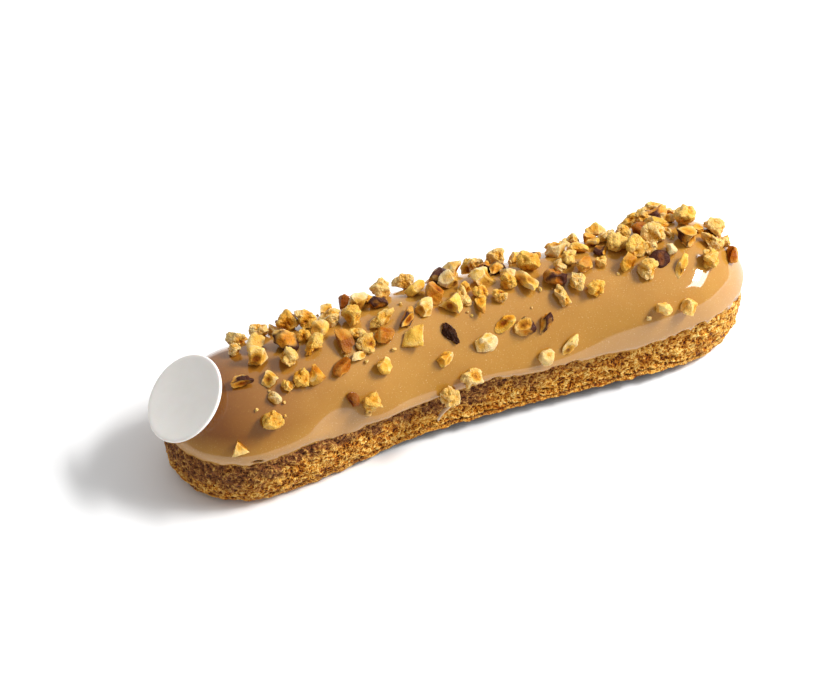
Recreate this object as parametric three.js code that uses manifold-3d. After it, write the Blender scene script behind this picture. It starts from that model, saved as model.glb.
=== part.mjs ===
// An eclair on its flat base: a bar of choux, caramel icing strewn with chopped nuts, and a thin white disc.
// Millimetres, +Z up. The origin is on the table under the middle of the bar. +X runs from the disc end to the
// plain end, and -Y is the side with fewer nuts.
import * as THREE from "three";
import { mergeVertices } from "three/addons/utils/BufferGeometryUtils.js";
import Module from "manifold-3d";

const wasm = await Module();
wasm.setup();

// The choux bar. Lists run in even steps along the spine, from the disc end to the plain end.
const LENGTH = 140;
const DISC_CAP = 19; // length of the rounded end that carries the disc
const PLAIN_CAP = 18; // length of the other rounded end
const NEAR_HALF = [16.4, 15.4, 13.4, 14.2, 14.7, 15.1, 15.7]; // half-widths on the -Y side
const FAR_HALF = [16.2, 16.4, 15.6, 14.3, 14.0, 14.5, 15.2]; // half-widths on the +Y side
const CREST = [26.6, 26.8, 26.7, 26.4, 26.3, 26.6, 27.2]; // heights of the crest
const BULGE_Z = 9.5; // height of the widest line
const FOOT_SHARE = 0.8; // half-width of the flat base over that of the widest line
const FOOT_POWER = 2.4; // squareness of the section below the widest line, where 2 is an ellipse
const BEND = 2.2; // how far the middle bows towards +Y
const END_LIFT = 1; // how far the tips of the base rise off the table
const LIFT_START = 35; // distance from the middle where that rise begins
const LIFT_TOP = 20; // height where it has died away
const CRUST_RELIEF = 0.35; // height of the lumps in the crust
const CREASE_DEPTH = 0.5; // groove that runs round the side above the base
const FOOT_ANGLES = [-72, -56, -44, -38, -32, -18, 0]; // degrees below the widest line
const CREASE_ANGLE = -38;

// The icing
const GAP = 0.3; // clearance between separate pieces
const ICING = 0.95; // thickness of the icing
const LIP = 2; // width of its rounded lower lip
const NEAR_EDGE = [13.6, 13.9, 12.1, 11.9, 12.8, 11.3, 11.3, 11.0, 12.4]; // heights of its lower edge, -Y side
const FAR_EDGE = [13.4, 12.6, 12.2, 13.1, 12.4, 11.6, 12.3, 11.8, 12.6]; // the same on the +Y side
const EDGE_RIPPLE = 0.3;
const OUTER_ARCS = [0.01, 0.035, 0.1, 0.25, 0.44, 0.63, 0.82, 1]; // from the edge to the crest
const INNER_ARCS = [0, 0.25, 0.5, 0.75, 1];

// The disc
const DISC_RADIUS = 10.2;
const DISC_THICKNESS = 0.8;
const DISC_DISH = 0.7; // how far its rim stands above its middle
const DISC_AT = [-63.2, -0.4]; // where its middle touches the icing: along and across

// The nuts. A place on the icing is a distance along the bar and one across it from the crest, -Y negative.
const SIDE_ARC = 26; // distance over the icing from the crest to the widest line
const NUT_SEED = 4251;
const NUT_COUNT = 110;
const NUT_SIZES = [6.2, 3]; // largest and smallest of the strewn nuts
const NUT_SPACING = 0.36; // closest two centres come, as a share of their summed sizes
const NUT_CUTS = 5; // flat faces that the chopping leaves
const CUT_DEPTHS = [0.6, 0.92]; // how far the cuts are from a nut's centre, over its radius
const NUT_SINK = 0.5; // how deep its lowest corner sits in the icing
const NUT_TILT = 0.35;
const DISC_CLEARANCE = 12.8; // from the disc's middle to the nearest strewn nut
const HEAP_SPREAD = [3, 4.2]; // along and across
// Middles of the heaps, along and across.
const HEAPS = [
  [-50, 3], [-43, 1], [-36, 1], [-27, 2], [-19, 3], [-4, 2], [3, 2], [12, 1], [18, 2],
  [26, 0], [34, 3], [41, 0], [47, 1], [52, -2], [53, 5], [57, -4], [62, -3],
];
const LOOSE_SHARE = 0.12; // share of the strewn nuts that lie outside the heaps
const LOOSE_ALONG = [-46, 65];
const LOOSE_ACROSS = [4, 18];
const FORMS = { chunk: [1, 0.9, 0.85], sliver: [1.3, 0.66, 0.62], plate: [1.1, 0.95, 0.5] };
// Nuts that stand alone: along, across, size and form.
const LONE_NUTS = [
  [-58, -16, 4.6, "plate"], [-50, -13, 5.2, "chunk"], [-48, -9, 3.2, "chunk"], [-41, -7, 4.3, "chunk"],
  [-53, -4, 5, "sliver"], [-31, -8, 5.4, "sliver"], [-27, -7, 3.6, "sliver"], [-22, -11, 4.4, "chunk"],
  [-31, -15, 3.8, "chunk"], [-27, -17, 4.8, "chunk"], [-13, -8, 6, "plate"], [-13, -3, 5, "sliver"],
  [-5, -9, 6.2, "plate"], [-8, -14, 4, "chunk"], [-9, -21, 5.6, "chunk"], [-3, -19, 5, "chunk"],
  [2, -13, 5.6, "plate"], [8, -10, 4.4, "sliver"], [12, -12, 5, "chunk"], [17, -12, 4.6, "sliver"],
  [15, -19, 4.4, "chunk"], [21, -18, 4.4, "sliver"], [30, -8, 4.6, "chunk"], [43, -15, 4.2, "chunk"],
  [49, -16, 4.8, "chunk"], [43, -7, 5.2, "chunk"],
];

// Faceting
const SIDE_STEPS = 34;
const CAP_STEPS = 12;
const DISC_STEPS = 32;

const SPINE_START = DISC_CAP - LENGTH / 2;
const SPINE_END = LENGTH / 2 - PLAIN_CAP;
const QUARTER_TURN = Math.PI / 2;

// A smooth curve through evenly spaced values, at t from 0 to 1.
function along(values, t) {
  const last = values.length - 1;
  const place = THREE.MathUtils.clamp(t, 0, 1) * last;
  const i = Math.min(Math.floor(place), last - 1);
  const f = place - i;
  const [a, b] = [values[Math.max(i - 1, 0)], values[i]];
  const [c, d] = [values[i + 1], values[Math.min(i + 2, last)]];
  return b + 0.5 * f * (c - a + f * (2 * a - 5 * b + 4 * c - d + f * (3 * (b - c) + d - a)));
}

// The section's distance from the spine and its height, at an angle from -90 degrees at the base's edge,
// past 0 at the widest line, to 90 degrees at the crest.
function section(angle, reach, crest) {
  const [c, s] = [Math.abs(Math.cos(angle)), Math.abs(Math.sin(angle))];
  if (angle >= 0) return [reach * c, BULGE_Z + (crest - BULGE_Z) * s];
  const power = 2 / FOOT_POWER;
  return [reach * (FOOT_SHARE + (1 - FOOT_SHARE) * c ** power), BULGE_Z * (1 - s ** power)];
}

// How far the bar reaches from its spine in the direction (dx, dy), at u along the spine.
function reaches({ u, dx, dy }) {
  const half = along(dy < 0 ? NEAR_HALF : FAR_HALF, u);
  const cap = u < 0.5 ? DISC_CAP : PLAIN_CAP;
  return new THREE.Vector2(dx * cap, dy * half);
}

function spinePoint(u) {
  const sway = Math.sin(Math.PI * u) ** 2 - 0.5;
  return new THREE.Vector2(SPINE_START + u * (SPINE_END - SPINE_START), BEND * sway);
}

// The rise of the base towards the tips, which dies away up the sides.
function tipLift(x, z) {
  const out = (Math.abs(x) - LIFT_START) / (LENGTH / 2 - LIFT_START);
  return END_LIFT * THREE.MathUtils.clamp(out, 0, 1) ** 2 * THREE.MathUtils.clamp(1 - z / LIFT_TOP, 0, 1);
}

// The outward direction of the section, as radial and upward parts.
function sectionNormal(angle, reach, crest) {
  const step = 1e-4;
  const [r0, z0] = section(angle - step, reach, crest);
  const [r1, z1] = section(angle + step, reach, crest);
  return new THREE.Vector2(z1 - z0, r0 - r1).normalize();
}

// A point of the choux's skin at a station and a section angle, moved out by offset.
function skinPoint(station, angle, offset = 0) {
  const out = reaches(station);
  const reach = out.length();
  const crest = along(CREST, station.u);
  const [r, z] = section(angle, reach, crest);
  const normal = sectionNormal(angle, reach, crest);
  const plan = spinePoint(station.u).addScaledVector(out, (r + offset * normal.x) / reach);
  const height = z + offset * normal.y;
  return new THREE.Vector3(plan.x, plan.y, height + tipLift(plan.x, height));
}

// Stations round the rim: the -Y side, the disc end, the +Y side and the plain end.
function rimStations() {
  const stations = [];
  for (let i = 0; i < SIDE_STEPS; i++) stations.push({ u: 1 - i / SIDE_STEPS, dx: 0, dy: -1 });
  for (let i = 0; i < CAP_STEPS; i++) {
    const turn = -QUARTER_TURN - (Math.PI * i) / CAP_STEPS;
    stations.push({ u: 0, dx: Math.cos(turn), dy: Math.sin(turn) });
  }
  for (let i = 0; i < SIDE_STEPS; i++) stations.push({ u: i / SIDE_STEPS, dx: 0, dy: 1 });
  for (let i = 0; i < CAP_STEPS; i++) {
    const turn = QUARTER_TURN - (Math.PI * i) / CAP_STEPS;
    stations.push({ u: 1, dx: Math.cos(turn), dy: Math.sin(turn) });
  }
  return stations;
}
const STATIONS = rimStations();

// The section angle of the icing's lower edge at a station.
function edgeAngle(station) {
  const { u, dy } = station;
  const height = THREE.MathUtils.lerp(along(NEAR_EDGE, u), along(FAR_EDGE, u), (1 + dy) / 2);
  const { x } = skinPoint(station, 0);
  const ripple = EDGE_RIPPLE * Math.sin(0.8 * x + 1.7 * dy);
  return Math.asin((height + ripple - BULGE_Z) / (along(CREST, u) - BULGE_Z));
}

// The section angle at a share of the way from the icing's edge to the crest.
function icedAngle(station, share) {
  return THREE.MathUtils.lerp(edgeAngle(station), QUARTER_TURN, share);
}

// Crossed waves that make the crust lumpy.
function crustLumps({ x, y, z }) {
  const broad = Math.sin(0.9 * x + 1.3 * z) * Math.sin(0.8 * y - 0.7 * z + 1);
  const fine = Math.sin(1.7 * x - 0.9 * y) * Math.sin(1.5 * z + 0.6 * x);
  return CRUST_RELIEF * (0.6 * broad + 0.4 * fine);
}

// A closed geometry through rings of points, the first and last of which lie on a line or a point.
function closedSkin(rings) {
  const positions = [];
  const count = rings[0].length;
  for (let i = 0; i + 1 < rings.length; i++) {
    for (let k = 0; k < count; k++) {
      const next = (k + 1) % count;
      const [a, b, c, d] = [rings[i][k], rings[i][next], rings[i + 1][next], rings[i + 1][k]];
      positions.push(...a, ...c, ...b, ...a, ...d, ...c);
    }
  }
  return new THREE.BufferGeometry().setAttribute("position", new THREE.Float32BufferAttribute(positions, 3));
}

// A manifold solid of a geometry, with shared vertices merged and collapsed faces dropped.
function solidOf(geometry) {
  const bare = new THREE.BufferGeometry();
  bare.setAttribute("position", geometry.getAttribute("position"));
  if (geometry.index) bare.setIndex(geometry.index);
  const merged = mergeVertices(bare, 1e-3);
  const kept = [];
  for (let i = 0; i < merged.index.count; i += 3) {
    const [a, b, c] = merged.index.array.slice(i, i + 3);
    if (a !== b && b !== c && c !== a) kept.push(a, b, c);
  }
  const vertProperties = merged.getAttribute("position").array;
  return new wasm.Manifold(new wasm.Mesh({ numProp: 3, vertProperties, triVerts: new Uint32Array(kept) }));
}

function geometryOf(solid) {
  const { vertProperties, triVerts } = solid.getMesh();
  const geometry = new THREE.BufferGeometry();
  geometry.setAttribute("position", new THREE.BufferAttribute(vertProperties, 3));
  geometry.setIndex(new THREE.BufferAttribute(triVerts, 1));
  return geometry;
}

// The visible crust: lumps everywhere, and a groove above the base.
function crustPoint(station, degrees) {
  const angle = THREE.MathUtils.degToRad(degrees);
  const groove = degrees === CREASE_ANGLE ? CREASE_DEPTH : 0;
  return skinPoint(station, angle, crustLumps(skinPoint(station, angle)) - groove);
}

function chouxSolid() {
  const base = STATIONS.map((station) => skinPoint(station, -QUARTER_TURN));
  const underSpine = STATIONS.map(({ u }) => {
    const { x, y } = spinePoint(u);
    return new THREE.Vector3(x, y, tipLift(x, 0));
  });
  const foot = FOOT_ANGLES.map((degrees) => STATIONS.map((station) => crustPoint(station, degrees)));
  const iced = INNER_ARCS.map((share) => STATIONS.map((station) => skinPoint(station, icedAngle(station, share))));
  return solidOf(closedSkin([underSpine, base, ...foot, ...iced]));
}

// The icing's thickness at a share of the way from its edge to the crest, rounded at the lip.
function icingThickness(share) {
  const inset = 1 - Math.min((share * SIDE_ARC) / LIP, 1);
  return ICING * Math.sqrt(1 - inset * inset);
}

function icingRing(share, offset) {
  return STATIONS.map((station) => skinPoint(station, icedAngle(station, share), offset));
}

function icingSolid() {
  const inner = INNER_ARCS.toReversed().map((share) => icingRing(share, GAP));
  const outer = OUTER_ARCS.map((share) => icingRing(share, GAP + icingThickness(share)));
  return solidOf(closedSkin([...inner, ...outer]));
}

// The space that nuts keep out of: the choux with a little room round it.
function keepOutSolid(clearance) {
  const rings = [-QUARTER_TURN, ...FOOT_ANGLES.map(THREE.MathUtils.degToRad)].map((angle) =>
    STATIONS.map((station) => skinPoint(station, angle, clearance)),
  );
  const under = STATIONS.map(({ u }) => new THREE.Vector3(...spinePoint(u), -clearance));
  return solidOf(closedSkin([under, ...rings, ...INNER_ARCS.map((share) => icingRing(share, clearance))]));
}

// A place on the icing as a point, its outward direction, and the direction along the bar.
function icingPlace(distance, across) {
  const onSpine = THREE.MathUtils.clamp(distance, SPINE_START, SPINE_END);
  const u = (onSpine - SPINE_START) / (SPINE_END - SPINE_START);
  const out = new THREE.Vector2(distance - onSpine, across);
  const angle = QUARTER_TURN * (1 - out.length() / SIDE_ARC);
  out.normalize();
  const station = { u, dx: out.x, dy: out.y };
  const point = skinPoint(station, angle, GAP + ICING);
  const normal = skinPoint(station, angle, GAP + ICING + 1).sub(point).normalize();
  const forward = new THREE.Vector3(1, 0, 0).projectOnPlane(normal).normalize();
  return { point, normal, forward };
}

function discMatrix() {
  const { point, normal, forward } = icingPlace(...DISC_AT);
  const sideways = new THREE.Vector3().crossVectors(normal, forward);
  return new THREE.Matrix4()
    .makeBasis(forward, sideways, normal)
    .setPosition(point.addScaledVector(normal, GAP));
}

// A shallow dish with a rounded rim.
function discGeometry() {
  const rim = DISC_THICKNESS / 2;
  const dish = (r) => DISC_DISH * (r / DISC_RADIUS) ** 2;
  const radii = [0, 0.35, 0.65, 0.85, 1].map((share) => share * (DISC_RADIUS - rim));
  const under = radii.map((r) => new THREE.Vector2(r, dish(r)));
  const edge = [-45, 0, 45].map((degrees) => {
    const turn = THREE.MathUtils.degToRad(degrees);
    const flat = DISC_RADIUS - rim;
    return new THREE.Vector2(flat + rim * Math.cos(turn), dish(flat) + rim * (1 + Math.sin(turn)));
  });
  const over = radii.toReversed().map((r) => new THREE.Vector2(r, dish(r) + DISC_THICKNESS));
  const lathe = new THREE.LatheGeometry([...under, ...edge, ...over], DISC_STEPS);
  return lathe.rotateX(QUARTER_TURN);
}

// A plain seeded generator of numbers from 0 to 1.
function seeded(state) {
  return () => {
    state = (state * 1664525 + 1013904223) % 4294967296;
    return state / 4294967296;
  };
}

const draw = seeded(NUT_SEED);
const between = ([low, high]) => low + (high - low) * draw();
const bell = () => draw() + draw() + draw() - 1.5;

// A place for a strewn nut: mostly in a heap on the crest, sometimes loose.
function nutPlace() {
  if (draw() < LOOSE_SHARE) return [between(LOOSE_ALONG), between(LOOSE_ACROSS)];
  const heap = HEAPS[Math.floor(draw() * HEAPS.length)];
  return heap.map((middle, i) => middle + 2 * HEAP_SPREAD[i] * bell());
}

// The lone nuts, then the strewn ones from the largest down, each clear of the disc and of its neighbours.
function strewNuts() {
  const nuts = LONE_NUTS.map(([distance, across, size, form]) => ({ distance, across, size, form }));
  const forms = Object.keys(FORMS);
  const [discX, discY] = DISC_AT;
  for (let i = 0; i < NUT_COUNT; i++) {
    const size = THREE.MathUtils.lerp(...NUT_SIZES, i / (NUT_COUNT - 1));
    const form = forms[Math.floor(draw() * draw() * forms.length)];
    for (let attempt = 0; attempt < 40; attempt++) {
      const [distance, across] = nutPlace();
      const crowded = nuts.some(
        (nut) => Math.hypot(nut.distance - distance, nut.across - across) < NUT_SPACING * (nut.size + size),
      );
      const onDisc = Math.hypot(discX - distance, discY - across) < DISC_CLEARANCE;
      const offIcing = distance > LOOSE_ALONG[1] || Math.abs(across) > LOOSE_ACROSS[1];
      if (crowded || onDisc || offIcing) continue;
      nuts.push({ distance, across, size, form });
      break;
    }
  }
  return nuts;
}

// A random direction, even over the sphere.
function drawDirection() {
  const z = 2 * draw() - 1;
  const turn = 2 * Math.PI * draw();
  const flat = Math.sqrt(1 - z * z);
  return new THREE.Vector3(flat * Math.cos(turn), flat * Math.sin(turn), z);
}

// A chopped nut: a ball with flat cuts, stretched to its form and set into the icing.
function nutSolid({ distance, across, size, form }) {
  const cuts = Array.from({ length: NUT_CUTS }, () => ({ normal: drawDirection(), depth: between(CUT_DEPTHS) }));
  const spin = 2 * Math.PI * draw();
  const tilt = drawDirection().multiplyScalar(NUT_TILT);
  const { point, normal, forward } = icingPlace(distance, across);
  const up = normal.clone().add(tilt).normalize();
  const front = forward.applyAxisAngle(normal, spin).projectOnPlane(up).normalize();
  const basis = new THREE.Matrix4().makeBasis(front, new THREE.Vector3().crossVectors(up, front), up);
  const stretch = new THREE.Vector3(...FORMS[form]).multiplyScalar(size / 2);
  const geometry = new THREE.IcosahedronGeometry(1);
  const position = geometry.getAttribute("position");
  const corner = new THREE.Vector3();
  let lowest = 0;
  for (let i = 0; i < position.count; i++) {
    corner.fromBufferAttribute(position, i);
    for (const cut of cuts) {
      corner.addScaledVector(cut.normal, -Math.max(0, corner.dot(cut.normal) - cut.depth));
    }
    corner.multiply(stretch).applyMatrix4(basis);
    lowest = Math.min(lowest, corner.dot(normal));
    position.setXYZ(i, ...corner);
  }
  point.addScaledVector(normal, -lowest - NUT_SINK);
  return solidOf(geometry.translate(...point));
}

// Icing and nuts are one piece, and the nuts stop short of the choux.
function icedNutsSolid() {
  const nuts = strewNuts().map(nutSolid);
  const loose = wasm.Manifold.union(nuts).subtract(keepOutSolid(1.3 * GAP));
  return icingSolid().add(loose);
}

function named(name, geometry, colour, roughness) {
  const material = new THREE.MeshStandardMaterial({ color: colour, roughness, metalness: 0 });
  const mesh = new THREE.Mesh(geometry, material);
  mesh.name = name;
  return mesh;
}

const eclair = new THREE.Group();
const disc = named("disc", discGeometry(), 0xece8e1, 0.45);
disc.applyMatrix4(discMatrix());
eclair.add(
  named("choux", geometryOf(chouxSolid()), 0xa8742f, 0.85),
  named("icing", geometryOf(icedNutsSolid()), 0xb98a4c, 0.2),
  disc,
);

export default eclair;
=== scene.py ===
"""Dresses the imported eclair: baked crust, glossy caramel icing, chopped nuts and a white chocolate disc.

Lengths are in millimetres until a mesh is made. The forms follow the same rules and sizes as the solids, so
each piece lies where its solid is. +X runs from the disc end to the plain end, and -Y faces the camera.

A pair with ALONG, ACROSS or UP in its name says where something starts and where it is full. A NOISE pair
holds the size of the bumps and the channel that sets them apart from other noises.
"""
import math

import bmesh
import bpy
import numpy as np
from mathutils import Matrix, Vector


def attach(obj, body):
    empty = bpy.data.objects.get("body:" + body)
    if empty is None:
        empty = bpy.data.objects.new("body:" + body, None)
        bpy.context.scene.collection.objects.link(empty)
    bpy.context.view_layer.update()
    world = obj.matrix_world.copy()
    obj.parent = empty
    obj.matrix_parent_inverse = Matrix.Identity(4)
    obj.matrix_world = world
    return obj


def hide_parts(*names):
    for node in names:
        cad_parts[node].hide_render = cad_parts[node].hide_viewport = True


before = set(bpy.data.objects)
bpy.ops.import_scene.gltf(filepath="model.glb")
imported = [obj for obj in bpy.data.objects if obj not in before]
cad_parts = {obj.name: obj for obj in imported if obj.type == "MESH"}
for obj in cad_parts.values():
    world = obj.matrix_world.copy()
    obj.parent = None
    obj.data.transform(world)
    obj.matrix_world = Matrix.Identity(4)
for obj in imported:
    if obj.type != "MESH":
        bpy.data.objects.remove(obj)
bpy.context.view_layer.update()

METRE = 0.001
QUARTER_TURN = math.pi / 2

# The choux bar. Lists run in even steps along the spine, from the disc end to the plain end.
LENGTH = 140.0
DISC_CAP = 19.0
PLAIN_CAP = 18.0
SPINE_START = DISC_CAP - LENGTH / 2
SPINE_END = LENGTH / 2 - PLAIN_CAP
NEAR_HALF = [16.4, 15.4, 13.4, 14.2, 14.7, 15.1, 15.7]
FAR_HALF = [16.2, 16.4, 15.6, 14.3, 14.0, 14.5, 15.2]
CREST = [26.6, 26.8, 26.7, 26.4, 26.3, 26.6, 27.2]
MIDDLING_HALF = 15.0
MIDDLING_CREST = 26.5
BULGE_Z = 9.5
FOOT_SHARE = 0.8
FOOT_POWER = 2.4
BEND = 2.2
END_LIFT = 1.0
LIFT_START = 35.0
LIFT_TOP = 20.0
# On the -Y side the lower edge stands off the table along the middle.
NEAR_LIFT = 2.8
NEAR_LIFT_ALONG = (-38.0, -6.0)
NEAR_LIFT_END_ALONG = (60.0, 42.0)
NEAR_LIFT_ACROSS = (0.0, -11.0)
NEAR_LIFT_UP = (5.0, 0.0)

# The crust's relief
CRUST_RELIEF = 0.35
CREASE_Z = 2.6
CREASE_WIDTH = 0.45
CREASE_DEPTH = 0.55
CREASE_SWAY = 0.5
CREASE_SWAY_NOISE = (9.0, 80)
CREASE_FADE_NOISE = (7.0, 81)
GRAIN_DEPTH = 0.42
GRAIN_WARP = 0.5
GRAIN_WARP_NOISE = (1.4, 40)
RIDGE_NOISE = (0.95, 50)
FINE_RIDGE_NOISE = (0.475, 51)
BURST_NOISE = (2.2, 52)
BURST_RADIUS = 0.35
BURST_SHARE = 0.3
FOOT_GRAIN = 0.35
FULL_GRAIN_UP = (1.6, 3.0)
BASE_RELIEF_UP = (0.0, 0.6)
BUBBLE_NOISE = (3.6, 60)
BUBBLE_RADIUS = 0.55
BUBBLE_HEIGHT = 0.6
BUBBLE_BELOW = 3.0
BUBBLE_SPREAD = 60.0
BUBBLE_RARITY = 0.3
UNDER_ICING = 0.15
CRUST_STEPS = (400, 200)
FOOT_ROWS = 46
WAIST_ROWS = 18
HIDDEN_ROWS = (0.05, 0.3, 0.6, 1.0)

# The crust's tones
# Painted shade: the crease is darkened and dulled
CREASE_SHADE_TONE = 0.35
# Painted light: the crust is paler towards the plain end, which faces the light
PLAIN_END_LIGHT = 0.13
PLAIN_END_LIGHT_ALONG = (5.0, 55.0)
# The underside is darker, partly a burnt baked base and partly painted shade under the bar
BURNT_AND_SHADED_TONE = -0.8
BURNT_AND_SHADED_Z = 0.15
# Dull purple-brown, partly an icing smear and partly painted shade under the lip, at the disc end and below
SHADE_DEPTH = 1.3
SHADE_ALONG = (40.0, 0.0)
SHADE_NOISE = (3.2, 82)
FINE_SHADE_NOISE = (1.2, 83)
SHADE_MOST = 0.95
END_SHADE_DEPTH = 6.0
END_SHADE_ALONG = (-36.0, -68.0)
BASE_SHADE_UP = (0.5, 0.0)

# The icing
GAP = 0.3
ICING = 0.95
LIP = 3.2
SIDE_ARC = 26.0
NEAR_EDGE = [13.6, 13.9, 12.1, 11.9, 12.8, 11.3, 11.3, 11.0, 12.4]
FAR_EDGE = [13.4, 12.6, 12.2, 13.1, 12.4, 11.6, 12.3, 11.8, 12.6]
EDGE_FRAY = 0.36
FRAY_NOISE = (2.6, 90)
FINE_FRAY_NOISE = (0.9, 91)
EDGE_RADIUS = 17.0
EDGE_TUCK = 0.5
BUBBLE_RISE = 2.1
SWELL = 0.1
SWELL_NOISE = (16.0, 93)
RIPPLE = 0.14
RIPPLE_NOISE = (3.6, 94)
RIPPLE_STRETCH = np.array([0.3, 1, 1])
FULL_LIP = [0, 0, -0.9, 1.3, 1.6, 1.6, 1.5, 1.5, 1.4, 0.7, 0.2, 0, 0]
FULL_LIP_AT = 23.3
FULL_LIP_WIDTH = 6.6
SHOULDER = 2.6
SHOULDER_MIDDLE = 44.0
SHOULDER_REACH = 15.0
SHOULDER_AT = 17.0
SHOULDER_WIDTH = 7.5
FULL_FACING = (0.625, -0.625)
SLIT_AT = (-55.0, 1.2)
SLIT_HALF = (1.1, 0.3)
SLIT_DEPTH = 1.8
# Painted shade darkens the icing towards the disc end, from a little above its edge
PAINTED_SHADE_ALONG = (-30.0, -60.0)
PAINTED_SHADE_UP = (3.0, 8.0)
ICING_STEPS = (300, 150)
LIP_ROWS = 18
TOP_ROWS = 56
TOP_START = LIP + 0.4

# The thin run of icing: its ends as places along the bar and heights. Shares are of its length.
DRIP = ((-5.2, 11.3), (-10.6, 4.9))
DRIP_WIDTH = 0.45
DRIP_TAPER = 0.55
DRIP_BEAD = 0.5
DRIP_BEAD_AT = 0.93
DRIP_BEAD_LENGTH = 0.06
DRIP_TIP_AT = 0.96
DRIP_TIP_LENGTH = 0.05
DRIP_SWAY = 0.4
DRIP_SWAY_TURN = 7.0
DRIP_SINK = 0.15
DRIP_HEIGHT = 0.75
DRIP_STEPS = (40, 13)

# The disc
DISC_RADIUS = 10.2
DISC_THICKNESS = 0.8
DISC_DISH = 0.7
DISC_AT = (-63.2, -0.4)
DISC_SWELL = 0.06
DISC_SWELL_NOISE = (7.0, 120)
DISC_ROWS = 16
DISC_RIM_ROWS = 9
DISC_STEPS = 120

# The nuts. A place on the icing is a distance along the bar and one across it from the crest, -Y negative.
NUT_SEED = 4251
NUT_COUNT = 110
NUT_SIZES = (6.2, 3.0)
NUT_SPACING = 0.36
NUT_CUTS = 5
CUT_DEPTHS = (0.6, 0.92)
NUT_SINK = 0.5
NUT_TILT = 0.35
PLACE_TRIES = 40
DISC_CLEARANCE = 12.8
HEAP_SPREAD = (3, 4.2)
HEAPS = [
    (-50, 3), (-43, 1), (-36, 1), (-27, 2), (-19, 3), (-4, 2), (3, 2), (12, 1), (18, 2),
    (26, 0), (34, 3), (41, 0), (47, 1), (52, -2), (53, 5), (57, -4), (62, -3),
]
LOOSE_SHARE = 0.12
LOOSE_ALONG = (-46, 65)
LOOSE_ACROSS = (4, 18)
FORMS = {"chunk": (1, 0.9, 0.85), "sliver": (1.3, 0.66, 0.62), "plate": (1.1, 0.95, 0.5)}
# Nuts that stand alone: along, across, size, form and kind.
LONE_NUTS = [
    (-58, -16, 4.6, "plate", "wedge"), (-50, -13, 5.2, "chunk", "crumb"), (-48, -9, 3.2, "chunk", "pale"),
    (-41, -7, 4.3, "chunk", "crumb"), (-53, -4, 5, "sliver", "skinned"), (-31, -8, 5.4, "sliver", "roasted"),
    (-27, -7, 3.6, "sliver", "pale"), (-22, -11, 4.4, "chunk", "chip"), (-31, -15, 3.8, "chunk", "roasted"),
    (-27, -17, 4.8, "chunk", "crumb"), (-13, -8, 6, "plate", "chip"), (-13, -3, 5, "sliver", "skinned"),
    (-5, -9, 6.2, "plate", "flake"), (-8, -14, 4, "chunk", "chip"), (-9, -21, 5.6, "chunk", "crumb"),
    (-3, -19, 5, "chunk", "crumb"), (2, -13, 5.6, "plate", "pale"), (8, -10, 4.4, "sliver", "chip"),
    (12, -12, 5, "chunk", "skinned"), (17, -12, 4.6, "sliver", "skinned"), (15, -19, 4.4, "chunk", "pale"),
    (21, -18, 4.4, "sliver", "chip"), (30, -8, 4.6, "chunk", "crumb"), (43, -15, 4.2, "chunk", "block"),
    (49, -16, 4.8, "chunk", "block"), (43, -7, 5.2, "chunk", "crumb"),
]

# How each kind of nut looks: its share of the strewn nuts, straight sides, further cuts and their depths,
# bites, how uneven its outline is, the height of its crumbly grains, how thick it is, how brown at most, the
# share of its outside with skin, and its colours from pale to roasted.
KINDS = {
    "crumb": dict(
        share=0.46, sides=0, facets=4, depths=(0.55, 0.9), bites=2,
        lumps=0.36, grains=0.95, thick=1.0, roast=0.6, skin=0.0,
        stops=[(0.0, (0.82, 0.645, 0.335)), (0.5, (0.81, 0.54, 0.125)), (1.0, (0.6, 0.27, 0.02))],
    ),
    "chip": dict(
        share=0.27, sides=0, facets=6, depths=(0.4, 0.75), bites=2,
        lumps=0.22, grains=0.2, thick=0.9, roast=1.0, skin=0.0,
        stops=[(0.0, (0.83, 0.66, 0.335)), (0.5, (0.79, 0.49, 0.08)), (1.0, (0.39, 0.14, 0.012))],
    ),
    "roasted": dict(
        share=0.07, sides=0, facets=5, depths=(0.45, 0.8), bites=2,
        lumps=0.22, grains=0.25, thick=0.9, roast=1.0, skin=0.0,
        stops=[(0.0, (0.7, 0.42, 0.1)), (0.4, (0.5, 0.22, 0.032)), (1.0, (0.27, 0.09, 0.012))],
    ),
    "pale": dict(
        share=0.07, sides=0, facets=6, depths=(0.45, 0.8), bites=1,
        lumps=0.2, grains=0.3, thick=0.9, roast=0.6, skin=0.0,
        stops=[(0.0, (0.79, 0.65, 0.38)), (1.0, (0.76, 0.52, 0.17))],
    ),
    "skinned": dict(
        share=0.13, sides=0, facets=2, depths=(0.4, 0.7), bites=2,
        lumps=0.24, grains=0.35, thick=0.9, roast=1.0, skin=0.6,
        stops=[(0.0, (0.84, 0.58, 0.2)), (0.5, (0.66, 0.34, 0.06)), (1.0, (0.36, 0.135, 0.018))],
    ),
    "flake": dict(
        share=0.0, sides=0, facets=2, depths=(0.6, 0.9), bites=5,
        lumps=0.3, grains=1.0, thick=0.4, roast=1.0, skin=0.0,
        stops=[(0.0, (0.05, 0.016, 0.006)), (1.0, (0.02, 0.007, 0.003))],
    ),
    "wedge": dict(
        share=0.0, sides=3, facets=1, depths=(0.6, 0.8), bites=0,
        lumps=0.12, grains=0.12, thick=0.9, roast=0.5, skin=0.0,
        stops=[(0.0, (0.94, 0.73, 0.33)), (1.0, (0.8, 0.48, 0.1))],
    ),
    "block": dict(
        share=0.0, sides=4, facets=2, depths=(0.75, 0.95), bites=2,
        lumps=0.15, grains=0.4, thick=1.0, roast=0.45, skin=0.0,
        stops=[(0.0, (0.93, 0.7, 0.29)), (0.5, (0.82, 0.5, 0.11)), (1.0, (0.52, 0.22, 0.024))],
    ),
}
LOOK_SEED = 7
SKIN_COLOUR = (0.06, 0.017, 0.009)
SKIN_SIDE = np.array([-0.3, -0.8, 1.0])
FLAKE_LIE = np.array([0.34, -0.76, -0.56])
FLAKE_WIDTH = 0.45
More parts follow.
